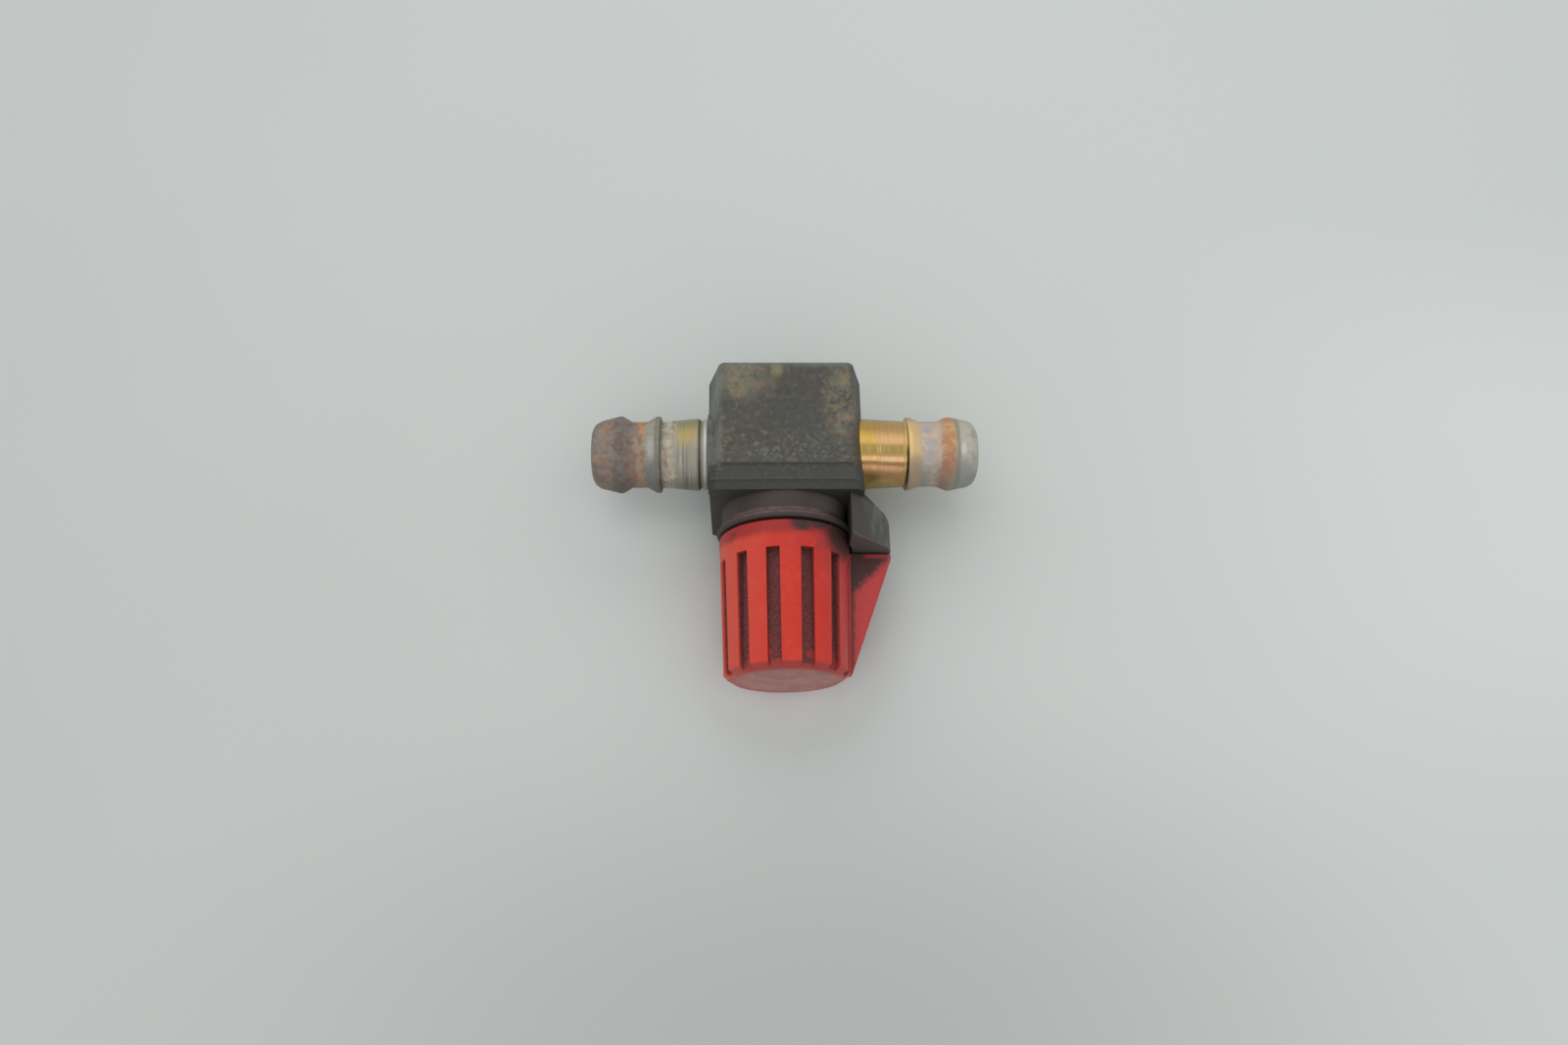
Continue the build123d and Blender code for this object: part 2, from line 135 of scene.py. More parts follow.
class ValveSizes(bpy.types.PropertyGroup):
    """Lengths that the dressed pieces follow."""

    axis_height: span("Axis height", "Height of the pipe and spindle axes", AXIS)
    flow_radius: span("Flow radius", "Radius of the bore through the tails", 5.3)
    spigot_end: span("Spigot end", "Inner end of a tail, from the spindle axis", 12.2)
    spigot_radius: span("Spigot radius", "Radius of a tail inside the body", 7.48)
    left_reach: span("Left reach", "Where the left tail leaves the body", 16.8)
    right_reach: span("Right reach", "Where the right tail widens inside the body", 15.5)
    seal_inset: span("Seal inset", "From the inner end to the middle of the O-ring", 1.7)
    seal_groove: span("Seal groove", "Width of the O-ring groove on a spigot", 1.9)
    seal_depth: span("Seal depth", "Depth of the O-ring groove on a spigot", 1.35)
    shoulder_radius: span("Shoulder radius", "Radius of the ring against the body", 7.95)
    shoulder_width: span("Shoulder width", "Width of the ring against the body", 1.0)
    relief_width: span("Relief width", "Width of the groove beside the shoulder", 0.7)
    relief_depth: span("Relief depth", "Depth of the groove beside the shoulder", 0.5)
    base_radius: span("Base radius", "Radius of a tail next to the body", 8.15)
    neck_radius: span("Neck radius", "Radius between the ridges", 7.42)
    left_ridge: span("Left ridge", "Radius of the left tail's ridges", 8.6)
    right_ridge: span("Right ridge", "Radius of the right tail's ridges", 8.3)
    ridge_foot: span("Ridge foot", "Length of a ridge's steep flank", 0.3)
    ridge_land: span("Ridge land", "Length of the flat top of a ridge", 0.9)
    ridge_slope: span("Ridge slope", "Length of a ridge's long flank", 2.1)
    left_rear: span("Left rear ridge", "Start of the left ridge nearer the body", 27.1)
    right_rear: span("Right rear ridge", "Start of the right ridge nearer the body", 27.4)
    left_front: span("Left outer ridge", "Start of the left outer ridge's flat top", 35.9)
    right_front: span("Right outer ridge", "Start of the right outer ridge's flat top", 37.0)
    left_end: span("Left end", "Outer end of the left tail", 42.55)
    right_end: span("Right end", "Outer end of the right tail", 43.55)
    nose_radius: span("Nose radius", "Radius where the nose's rounding starts", 7.55)
    nose_round: span("Nose round", "Rounding of the nose", 1.8)
    knob_edge: span("Knob edge", "Rounding of the knob's moulded edges", 0.32)
    body_edge: span("Body edge", "Rounding of the body's moulded edges", 0.3)
    grain: span("Grain", "Size of a grain of grit", 0.16)


class ValveColours(bpy.types.PropertyGroup):
    """Colours of the finishes."""

    black: hue("Black", "Bare black moulding", 0.037, 0.036, 0.034)
    road_dust: hue("Road dust", "Dust film on the black moulding", 0.105, 0.102, 0.086)
    brown_dust: hue("Brown dust", "Earthy part of the dust film", 0.115, 0.088, 0.058)
    rust_dust: hue("Rust dust", "Rust specks on the black moulding", 0.38, 0.235, 0.125)
    chalk: hue("Chalk", "Pale dust specks", 0.34, 0.33, 0.3)
    red: hue("Red", "Knob moulding", 0.62, 0.03, 0.015)
    # Paler red: painted light on the knob's left side, and patches of random tone
    lit_pale_red: hue("Faded red", "Sun-faded knob moulding", 0.68, 0.1, 0.062)
    grime: hue("Grime", "Oily dirt in the slots and corners", 0.1, 0.03, 0.03)
    pink_dust: hue("Pink dust", "Dust on the end of the knob", 0.44, 0.25, 0.225)
    gold: hue("Gold", "Yellow passivation", 0.66, 0.4, 0.105)
    peach: hue("Peach", "Pinkish part of the passivation", 0.66, 0.4, 0.185)
    olive: hue("Olive", "Passivation at the edges", 0.42, 0.36, 0.105)
    straw: hue("Straw", "Thin passivation on the rear ridge", 0.8, 0.54, 0.26)
    bloom: hue("Bloom", "White corrosion of the zinc", 0.47, 0.425, 0.4)
    zinc: hue("Zinc", "Dull zinc", 0.52, 0.48, 0.4)
    orange_rust: hue("Orange rust", "Fresh rust", 0.5, 0.245, 0.12)
    brown_rust: hue("Brown rust", "Old rust", 0.205, 0.115, 0.08)
    tan: hue("Tan", "Stained plating", 0.34, 0.25, 0.165)
    brass: hue("Brass", "Plug", 0.72, 0.5, 0.2)
    seal: hue("Seal", "Rubber seals", 0.02, 0.02, 0.02)
    seat: hue("Seat", "White seat rings", 0.74, 0.73, 0.69)
    spring: hue("Spring", "Spring steel", 0.45, 0.45, 0.44)
    floor: hue("Floor", "Table top", 0.655, 0.675, 0.655)


class ValveStage(bpy.types.PropertyGroup):
    """Place, turn and lens of the camera."""

    tilt: angle_property("Tilt", "Lean of the view towards the knob", 20.4)
    side: angle_property("Side", "Lean of the view to the left", 2.13)
    spin: angle_property("Spin", "Turn of the picture", -1.01)
    distance: span("Distance", "From the camera to the aim point", 260.83)
    aim_x: span("Aim X", "Aim point along the pipe", 0.01)
    aim_y: span("Aim Y", "Aim point along the spindle", -16.42)
    focal_pixels: bpy.props.FloatProperty(
        name="Focal length", description="In pixels of the photograph", subtype="PIXEL", default=1200
    )


class Field:
    """A shader value that takes part in Python sums."""

    def __init__(self, graph, socket):
        self.graph = graph
        self.socket = socket

    def part(self, name):
        """Another output of the same node."""
        return Field(self.graph, self.socket.node.outputs[name])

    def work(self, operation, first, second):
        """A Math node on two values."""
        return self.graph.node("ShaderNodeMath", {"operation": operation}, {0: first, 1: second})

    def __add__(self, other):
        return self.work("ADD", self, other)

    def __radd__(self, other):
        return self.work("ADD", other, self)

    def __sub__(self, other):
        return self.work("SUBTRACT", self, other)

    def __rsub__(self, other):
        return self.work("SUBTRACT", other, self)

    def __mul__(self, other):
        return self.work("MULTIPLY", self, other)

    def __rmul__(self, other):
        return self.work("MULTIPLY", other, self)

    def __neg__(self):
        return self.work("MULTIPLY", -1, self)

    def __or__(self, other):
        return self.work("MAXIMUM", self, other)

    def __and__(self, other):
        return self.work("MINIMUM", self, other)

    def root(self):
        """Square root."""
        return self.graph.node("ShaderNodeMath", {"operation": "SQRT"}, {0: self})

    def rise(self, low, high):
        """Smooth step from 0 at low to 1 at high."""
        return self.graph.node(
            "ShaderNodeMapRange",
            {"interpolation_type": "SMOOTHSTEP"},
            {"Value": self, "From Min": low, "From Max": high},
        )

    def fall(self, low, high):
        """Smooth step from 1 at low to 0 at high."""
        return 1 - self.rise(low, high)

    def band(self, low, high, soft):
        """1 between two limits, with soft ends."""
        return self.rise(low - soft, low + soft) * self.fall(high - soft, high + soft)


class Graph:
    """A node tree under construction."""

    def __init__(self, tree):
        self.tree = tree

    def node(self, kind, settings=None, sockets=None, output=0):
        """Adds a node with its settings first, then its socket values or links."""
        made = self.tree.nodes.new(kind)
        for key, value in (settings or {}).items():
            setattr(made, key, value)
        for key, value in (sockets or {}).items():
            if isinstance(value, Field):
                self.tree.links.new(value.socket, made.inputs[key])
            else:
                made.inputs[key].default_value = value
        return Field(self, made.outputs[output])


class Paint(Graph):
    """One material under construction, with places in millimetres."""

    def __init__(self, name):
        self.material = bpy.data.materials.new(name)
        self.material.use_nodes = True
        super().__init__(self.material.node_tree)
        self.shader = self.tree.nodes["Principled BSDF"]
        corner = self.node("ShaderNodeTexCoord", output="Object")
        scale = {0: corner, "Scale": 1 / MM}
        self.place = self.node("ShaderNodeVectorMath", {"operation": "SCALE"}, scale)
        split = self.node("ShaderNodeSeparateXYZ", sockets={0: self.place})
        self.x = split.part("X")
        self.y = split.part("Y")
        self.z = split.part("Z")
        self.colour = None

    def vector(self, operation, first, second):
        """A Vector Math node on two vectors."""
        return self.node("ShaderNodeVectorMath", {"operation": operation}, {0: first, 1: second})

    def cloud(self, scale, detail, rough, shift, stretch=(1, 1, 1), twist=0.0):
        """Fractal noise between 0 and 1, with its scale per millimetre."""
        where = self.vector("ADD", self.vector("MULTIPLY", self.place, stretch), (shift, shift, shift))
        return self.node(
            "ShaderNodeTexNoise",
            None,
            {"Vector": where, "Scale": scale, "Detail": detail, "Roughness": rough, "Distortion": twist},
        )

    def spot(self, centre, radius, soft, squash=(1, 1, 1)):
        """1 inside a ball or ellipsoid around a place, with a soft edge."""
        scale = tuple(1 / (radius * s) for s in squash)
        shrunk = self.vector("MULTIPLY", self.vector("SUBTRACT", self.place, centre), scale)
        reach = self.node("ShaderNodeVectorMath", {"operation": "LENGTH"}, {0: shrunk}, "Value")
        return reach.fall(1 - soft, 1 + soft)

    def mix(self, first, second, share):
        """Blend of two colours."""
        sockets = {0: share, 6: self.solid(first), 7: self.solid(second)}
        return self.node("ShaderNodeMix", {"data_type": "RGBA"}, sockets, 2)

    def coat(self, colour, share):
        """Lays a colour over what is painted so far."""
        self.colour = self.mix(self.colour, colour, share)

    def worn(self):
        """How far an edge is worn, as marked in the mesh."""
        return self.node("ShaderNodeAttribute", {"attribute_name": "worn"}, None, "Fac")

    def solid(self, colour):
        """A colour as a node input takes it."""
        if isinstance(colour, Field):
            return colour
        return (*colour, 1)

    def set(self, name, value):
        """Links or sets a socket of the shader."""
        if isinstance(value, Field):
            self.tree.links.new(value.socket, self.shader.inputs[name])
        else:
            self.shader.inputs[name].default_value = value

    def bump(self, height, strength, distance):
        """Feeds the normal from a height in the shader."""
        sockets = {"Strength": strength, "Distance": distance * MM, "Height": height}
        self.set("Normal", self.node("ShaderNodeBump", None, sockets))


def paint_black_moulding(colours):
    """Black plastic with a dust film, rust specks and rubbed edges."""
    paint = Paint("black_moulding")
    x, y, z = paint.x, paint.y, paint.z
    # Dust film, thickest on the top face
    top = z.rise(28.6, 30) * y.rise(-8.6, -7.9)
    broad = paint.cloud(0.13, 4, 0.6, 3.1)
    medium = paint.cloud(0.75, 6, 0.68, 8.4)
    fine = paint.cloud(2.8, 5, 0.7, 13)
    film = (broad * 0.45 + medium * 0.4 + fine * 0.15).rise(0.36, 0.62)
    earth = paint.cloud(0.11, 3, 0.5, 31).rise(0.42, 0.6)
    dust = paint.mix(colours.road_dust, colours.brown_dust, earth * 0.8)
    paint.colour = paint.mix(colours.black, dust, top * (0.16 + 0.62 * film) | 0.16 * film)
    # Front wall: brown painted shade, tinted by red light reflected from the knob
    front = (-y).rise(14, 14.6) * x.fall(12.8, 14.2)
    paint.coat((0.062, 0.041, 0.037), front * (0.55 + 0.35 * film))
    # Dark and pale mottling of the top
    mottle = paint.cloud(0.62, 5, 0.6, 47)
    paint.coat((0.05, 0.05, 0.046), top * mottle.fall(0.4, 0.54) * 0.72)
    paint.coat((0.175, 0.17, 0.145), top * mottle.rise(0.54, 0.66) * 0.55)
    # Rust specks in two corners of the top
    clump = paint.cloud(0.5, 6, 0.72, 21).rise(0.46, 0.6)
    speck = clump * fine.rise(0.42, 0.58)
    near = paint.spot((-9, 11.5, 30.4), 6.2, 0.55, (1.1, 0.75, 1))
    near |= paint.spot((12.4, 5.5, 30.4), 6.6, 0.55, (0.55, 1.15, 1))
    near |= 0.09 * top
    settled = near * (broad * 0.4 + medium * 0.6).rise(0.36, 0.58)
    paint.coat((0.205, 0.195, 0.14), settled * 0.72)
    stain = paint.mix(colours.rust_dust, (0.24, 0.2, 0.1), medium.rise(0.45, 0.65))
    paint.coat(stain, (speck * 0.85 | clump * 0.4) * near)
    # Cleaner middle and one yellow spot
    calm = paint.spot((1.2, 6, 30.4), 9, 0.7, (0.75, 1, 1)) * medium.rise(0.2, 0.55)
    paint.coat((0.06, 0.058, 0.052), calm * 0.6)
    sulphur = paint.spot((-1.5, 13.8, 30.4), 1.5, 0.7, (0.8, 1.1, 1))
    paint.coat((0.36, 0.33, 0.13), sulphur * fine * 0.9)
    # Pale grains towards the front
    grain = paint.cloud(1.1, 6, 0.75, 5.7).rise(0.48, 0.66)
    pale = paint.spot((1.5, -5.4, 30.4), 9, 0.6, (1.1, 0.44, 1))
    pale |= paint.spot((-14, -3, 29), 6, 0.6, (0.5, 1.2, 1)) * 0.8
    pale |= (-y).band(8.2, 14.2, 0.3) * z.rise(28.5, 29.5) * 0.22
    paint.coat(colours.chalk, grain * (pale * 0.34 | 0.07 * top))
    # Chalky left shoulder
    shoulder = (-x).rise(12.9, 14.6) * z.rise(19, 24) * y.rise(-8.4, -7)
    paint.coat((0.215, 0.22, 0.2), shoulder * (0.25 + 0.55 * film))
    # Ear: painted shade on its inner part, and painted light with streaks on its outer facet
    streak = paint.cloud(1, 4, 0.6, 2, (0.75, 0.16, 0.75))
    ear = x.rise(13.7, 14.3) * (-y).rise(14.2, 15.2)
    streaked_light = ear * (0.35 + 0.65 * streak.rise(0.4, 0.66))
    facet = (x + 0.25 * (y + 18)).rise(16.6, 18.6)
    paint.coat((0.072, 0.062, 0.056), ear * (1 - facet) * 0.6)
    paint.coat((0.135, 0.14, 0.128), streaked_light * facet * z.rise(14, 20) * 0.85)
    # Pale back edge, and painted light on the ear's shaded front face
    back = y.rise(13.6, 15.4) * z.rise(28, 29.8)
    paint.coat((0.17, 0.2, 0.185), back * (0.35 + 0.4 * film))
    paint.coat((0.108, 0.096, 0.092), ear * (-y).rise(23.3, 23.6) * 0.8)
    # Dust and scuffs on the faces that are turned away
    hidden = y.rise(14.2, 15) * z.fall(27, 29) | z.fall(0.5, 1.5)
    hidden |= x.rise(14.4, 15.4) * y.rise(-8.4, -7.6)
    hidden |= (-x).rise(14.4, 15.4) * z.fall(17, 21)
    drift = paint.cloud(0.1, 5, 0.64, 71).rise(0.4, 0.66)
    low = (z + (medium - 0.5) * 6).fall(2, 9)
    paint.coat(dust, hidden * (drift * 0.3 | low * 0.3) * (0.35 + 0.65 * film))
    fall = paint.cloud(1, 5, 0.66, 3, (1.1, 1.1, 0.1))
    scuff = paint.cloud(1, 5, 0.66, 5, (0.12, 0.3, 2.4))
    marks = fall.rise(0.58, 0.7) * 0.35 | scuff.rise(0.62, 0.7) * 0.6
    paint.coat((0.165, 0.16, 0.145), hidden * marks * 0.55)
    # Dusty lip of the collar
    lip = (-y).band(17.7, 19.4, 0.2) * z.rise(12, 22) * x.fall(6, 12)
    paint.coat((0.15, 0.092, 0.085), lip * (0.4 + 0.6 * medium.rise(0.38, 0.58)))
    # Painted light on the step risers, lifting the shade in their corners
    riser_light = (-y).band(8.3, 8.55, 0.08) | (-y).band(11.85, 12.1, 0.08)
    paint.coat((0.105, 0.1, 0.09), riser_light * z.rise(29, 29.5) * 0.85)
    # Painted light lifting the shade in the nook beside the collar
    nook_light = (-y).band(14.3, 17.6, 0.3) * z.rise(15, 20)
    right = x.rise(4, 12) * x.fall(13.2, 14)
    nook_light *= right | (-x).rise(8, 13) * 0.4
    paint.coat((0.15, 0.118, 0.108), nook_light * 0.65)
    # Darker second step
    lower = (-y).band(12.2, 14.4, 0.2) * z.rise(20, 25)
    paint.coat((0.022, 0.02, 0.019), lower * 0.5)
    # Rubbed edges
    bright_mark = paint.worn() * medium.rise(0.36, 0.6)
    paint.coat((0.2, 0.2, 0.185), bright_mark * 0.5)
    paint.set("Base Color", paint.colour)
    # Gloss and relief
    matt = top * film | front * 0.6
    paint.set("Roughness", 0.44 + 0.3 * matt + 0.16 * medium)
    paint.set("Specular IOR Level", 0.42)
    height = fine * 0.45 + medium * 0.7 + speck * near * 0.8 + grain * pale * 0.6
    paint.bump(height, 0.42, 0.13)
    return paint.material


def paint_red_moulding(colours):
    """Red plastic, painted paler on its lit left side and darker on its right, with grime in the slots and
    near the ear.
    """
    paint = Paint("red_moulding")
    x, y, z = paint.x, paint.y, paint.z
    up = z - AXIS
    radius = (x * x + up * up).root()
    # Fading and scuffs
    broad = paint.cloud(0.2, 4, 0.6, 1.5)
    # Painted light on the left side and painted shade on the right, with random tone, and scuffs
    fine = paint.cloud(2.2, 5, 0.72, 11)
    left_light_and_tone = x.fall(-13, -1) * 0.62 + broad.rise(0.42, 0.75) * 0.16
    paint.colour = paint.mix(colours.red, colours.lit_pale_red, left_light_and_tone)
    # Painted shade on the right side
    paint.coat((0.46, 0.06, 0.066), x.rise(5, 14) * z.rise(12, 16) * 0.65)
    scuff = paint.cloud(1.3, 6, 0.72, 4, (1, 0.16, 1))
    paint.coat(colours.grime, scuff.rise(0.57, 0.74) * 0.3)
    haze = paint.cloud(0.6, 6, 0.7, 19).rise(0.5, 0.72)
    paint.coat((0.56, 0.17, 0.13), haze * 0.14)
    # Darker rim and worn edges
    rim = (-y + (broad - 0.5) * 2).fall(22.6, 24.6)
    paint.coat((0.32, 0.02, 0.018), rim * 0.85)
    paint.coat((0.66, 0.22, 0.17), paint.worn() * broad.rise(0.3, 0.62) * 0.45)
    # Soil in the slots
    skin = 14.3 + 0.0287 * (y + 20.7)
    slot = (radius - skin).fall(-0.75, -0.25) * (-y).band(26.4, 51.2, 0.25)
    slot *= 1 - (paint.cloud(0.5, 3, 0.5, 27) + 0.03 * (-y - 40)).rise(0.74, 0.96) * 0.55
    soil = paint.mix(colours.grime, (0.22, 0.068, 0.066), fine.rise(0.38, 0.66))
    paint.coat(soil, slot * 0.96)
    paint.coat((0.26, 0.17, 0.16), slot * paint.cloud(3, 4, 0.7, 37).rise(0.6, 0.7) * 0.35)
    # Oily smears by the ear, and a darker wedge and joint on the fin next to the knob
    blotch = paint.cloud(0.5, 6, 0.66, 17, twist=0.8)
    near = paint.spot((12.2, -22.4, 23.5), 6, 0.5, (0.85, 0.9, 1.2))
    near |= paint.spot((3.2, -21.6, 29.2), 2.3, 0.6, (1.1, 0.9, 1))
    near |= paint.spot((7.4, -20.9, 28), 4.4, 0.6, (1.2, 0.42, 1))
    near |= paint.spot((-11.8, -22.8, 25), 2, 0.7, (0.8, 1.1, 1.2)) * 0.55
    dark_marks = near * (blotch + near * 0.55).rise(0.6, 0.88)
    fin = (radius - skin).rise(0.05, 0.35) * (-y).rise(23.2, 23.6)
    wedge = (x - y + (blotch - 0.5) * 5).fall(46.6, 49.4)
    wedge *= 1 - x.rise(16.5, 18.5) * (-y).fall(24.8, 25.6) * 0.6
    joint = (x - 0.04 * (y + 32) + (blotch - 0.5) * 2).fall(14.6, 15.6) * 0.75
    dark_marks |= fin * (wedge | joint)
    paint.coat((0.032, 0.026, 0.026), dark_marks * 0.92)
    # Thin veil around the smears, and spatter
    veil = paint.spot((9.5, -23, 26), 7.5, 0.8, (1.1, 0.8, 1.2)) * blotch.rise(0.3, 0.6)
    paint.coat((0.19, 0.035, 0.045), veil * (1 - dark_marks) * 0.45)
    paint.coat((0.06, 0.03, 0.03), paint.cloud(1.1, 4, 0.7, 43).rise(0.69, 0.74) * 0.6)
    # Dusty end below a red ring
    face = (-y).rise(50.4, 51.6)
    end = face * (radius + 1.8 * up.rise(0, 9)).fall(11.6, 13)
    paint.coat((0.25, 0.062, 0.06), face * up.rise(2, 8) * 0.6)
    powder = paint.cloud(0.3, 6, 0.66, 23).rise(0.36, 0.6)
    cap = paint.mix((0.35, 0.19, 0.18), colours.pink_dust, powder)
    outer = (radius + (broad - 0.5) * 7).rise(8.6, 12)
    cap = paint.mix(cap, (0.36, 0.125, 0.115), outer * 0.7)
    paint.coat(cap, end * 0.88)
    paint.set("Base Color", paint.colour)
    # Gloss and relief
    matt = slot | dark_marks * 0.35 | end * 0.9
    paint.set("Roughness", 0.42 + 0.34 * matt + 0.16 * haze)
    paint.set("Specular IOR Level", 0.28)
    height = broad * 0.5 + fine * slot * 1.8 + fine * 0.22 + paint.cloud(0.7, 5, 0.7, 29) * end * 1.3
    paint.bump(height, 0.36, 0.15)
    return paint.material


def paint_plated_tail(colours):
    """Yellow passivated steel with white bloom and rust by the outer ridge."""
    paint = Paint("plated_steel")
    x, y = paint.x, paint.y
    # Noises that break up the borders
    edge = paint.cloud(0.5, 5, 0.62, 4)
    fine = paint.cloud(2.4, 5, 0.7, 15)
    wide = paint.cloud(0.2, 4, 0.6, 61)
    along = x + (edge - 0.5) * 3.4 + (wide - 0.5) * 3
    across = y + (paint.cloud(0.16, 3, 0.5, 51) - 0.5) * 0.8
    rings = paint.cloud(1, 4, 0.65, 6, (2.6, 0.035, 0.035))
    lines = paint.cloud(1, 3, 0.6, 1, (8, 0.03, 0.03))
    # Passivation, with painted reflections as bright and dark bands along the tail
    peach = (x + (edge - 0.5) * 2).rise(19.4, 21.6)
    paint.colour = paint.mix(colours.gold, colours.peach, peach)
    for low, high, soft, tint, share in (
        (-3.4, -0.9, 0.55, (0.38, 0.27, 0.08), 0.8),
        (-4.45, -3.65, 0.25, (0.95, 0.56, 0.32), 0.85),
        (-5.25, -4.55, 0.25, (0.3, 0.165, 0.075), 0.9),
        (-6.1, -5.35, 0.3, (0.78, 0.39, 0.22), 0.8),
        (-7.4, -6.1, 0.3, (0.44, 0.24, 0.11), 0.85),
    ):
        paint.coat(tint, across.band(low, high, soft) * share)
    paint.coat((0.4, 0.27, 0.085), rings.rise(0.45, 0.62) * 0.35)
    # Painted glints on the turning marks
    glint = across.band(-2.7, -1.4, 1.1) * rings.rise(0.47, 0.66)
    paint.coat((0.98, 0.72, 0.36), glint * 0.7)
    # Olive towards the edges
    green = across.rise(4.4, 6.4) | (-across).rise(7.1, 8) | x.rise(26.2, 27.2) * 0.6
    paint.coat(colours.olive, green * 0.75)
    # Straw ridge; at its steep foot, painted light on the upper half to lift its shade, and darker on the
    # lower half
    ridge = x.rise(27.5, 27.8)
    tan = paint.mix(colours.straw, (0.38, 0.32, 0.235), (-y).rise(2, 6))
    tan = paint.mix(tan, (0.33, 0.315, 0.215), y.rise(4, 7) * 0.8)
    paint.coat(tan, ridge)
    steep_flank = x.band(27.2, 27.6, 0.2)
    lower = (-y + (edge - 0.5) * 2).rise(0.5, 2.5)
    paint.coat(paint.mix((0.72, 0.52, 0.2), (0.2, 0.15, 0.06), lower), steep_flank * 0.7)
    # White bloom beyond the ridge
    patchy = paint.cloud(0.55, 6, 0.68, 9).rise(0.38, 0.58)
    white = along.band(30.3, 35.8, 1.1) * (0.45 + 0.55 * patchy)
    lilac = paint.cloud(0.42, 4, 0.6, 77).rise(0.45, 0.6)
    chalky = paint.mix(colours.bloom, (0.4, 0.372, 0.395), lilac)
    chalky = paint.mix(chalky, (0.27, 0.255, 0.225), (-y).rise(4, 7) * 0.75)
    chalky = paint.mix(chalky, (0.62, 0.59, 0.56), fine.rise(0.56, 0.68) * 0.6)
    paint.coat(chalky, white)
    # Grey zinc nose
    nose = (x + (edge - 0.5) * 0.8).rise(38.1, 38.6)
    grey = paint.mix(colours.zinc, (0.3, 0.305, 0.29), (-y + (edge - 0.5) * 6).rise(2, 7))
    grey = paint.mix(grey, (0.33, 0.29, 0.22), paint.cloud(0.36, 4, 0.6, 81).rise(0.52, 0.66) * 0.5)
    grey = paint.mix(grey, (0.25, 0.235, 0.2), (fine * 0.5 + edge * 0.5).rise(0.52, 0.64) * 0.55)
    paint.coat(grey, nose)
    # Painted shadow along the outer ridge's flank next to the nose
    flank = (x + (edge - 0.5) * 0.6).band(38.2, 39.2, 0.3)
    paint.coat((0.22, 0.205, 0.165), flank * 0.65)
    # Painted highlight: a bright spot on the nose
    bright_mark = paint.spot((39.9, -2, 22.8), 1.1, 0.6, (0.5, 1.2, 1))
    paint.coat((0.72, 0.69, 0.62), bright_mark * 0.7)
    # Rust at the outer ridge
    lean = along - 0.1 * y
    halo = lean.band(33.6, 35.6, 0.8)
    paint.coat((0.54, 0.43, 0.33), halo * patchy * 0.7)
    rust = (lean + (fine - 0.5) * 1.2).rise(34.4, 36) * (x + (edge - 0.5) * 0.8).fall(37.9, 38.4)
    rusty = paint.mix(colours.orange_rust, (0.42, 0.19, 0.12), (-y + (edge - 0.5) * 5).rise(0.5, 5))
    rusty = paint.mix(rusty, colours.brown_rust, fine.rise(0.52, 0.68) * 0.45)
    rusty = paint.mix(rusty, (0.25, 0.215, 0.18), (-y + (edge - 0.5) * 4).rise(6.2, 8) * 0.8)
    paint.coat(rusty, rust * (0.55 + 0.4 * patchy))
    # Rust stain at the rear ridge
    stain = along.band(28.4, 30.6, 0.6) * (-y).rise(2.5, 5) * patchy
    paint.coat(colours.orange_rust, stain * 0.45)
    paint.set("Base Color", paint.colour)
    # Gloss and relief
    dull = (white | rust | halo * 0.6 | stain * 0.5) & 1
    shaded = x.fall(17.5, 20.5) * (-y).rise(4, 6.5)
    plain = (1 - 0.45 * ridge) * (1 - 0.7 * shaded) * (1 - 0.8 * steep_flank * (1 - lower))
    paint.set("Metallic", (1 - dull) * (1 - nose * 0.55) * plain)
    paint.set("Roughness", 0.25 + 0.14 * rings + 0.42 * dull + nose * (0.14 + 0.22 * fine) + 0.12 * ridge)
    height = lines * 0.45 + rings * 0.5 + fine * dull * 1.5 + edge * (dull | nose * 0.4) * 1.1
    paint.bump(height, 0.34, 0.1)
    return paint.material


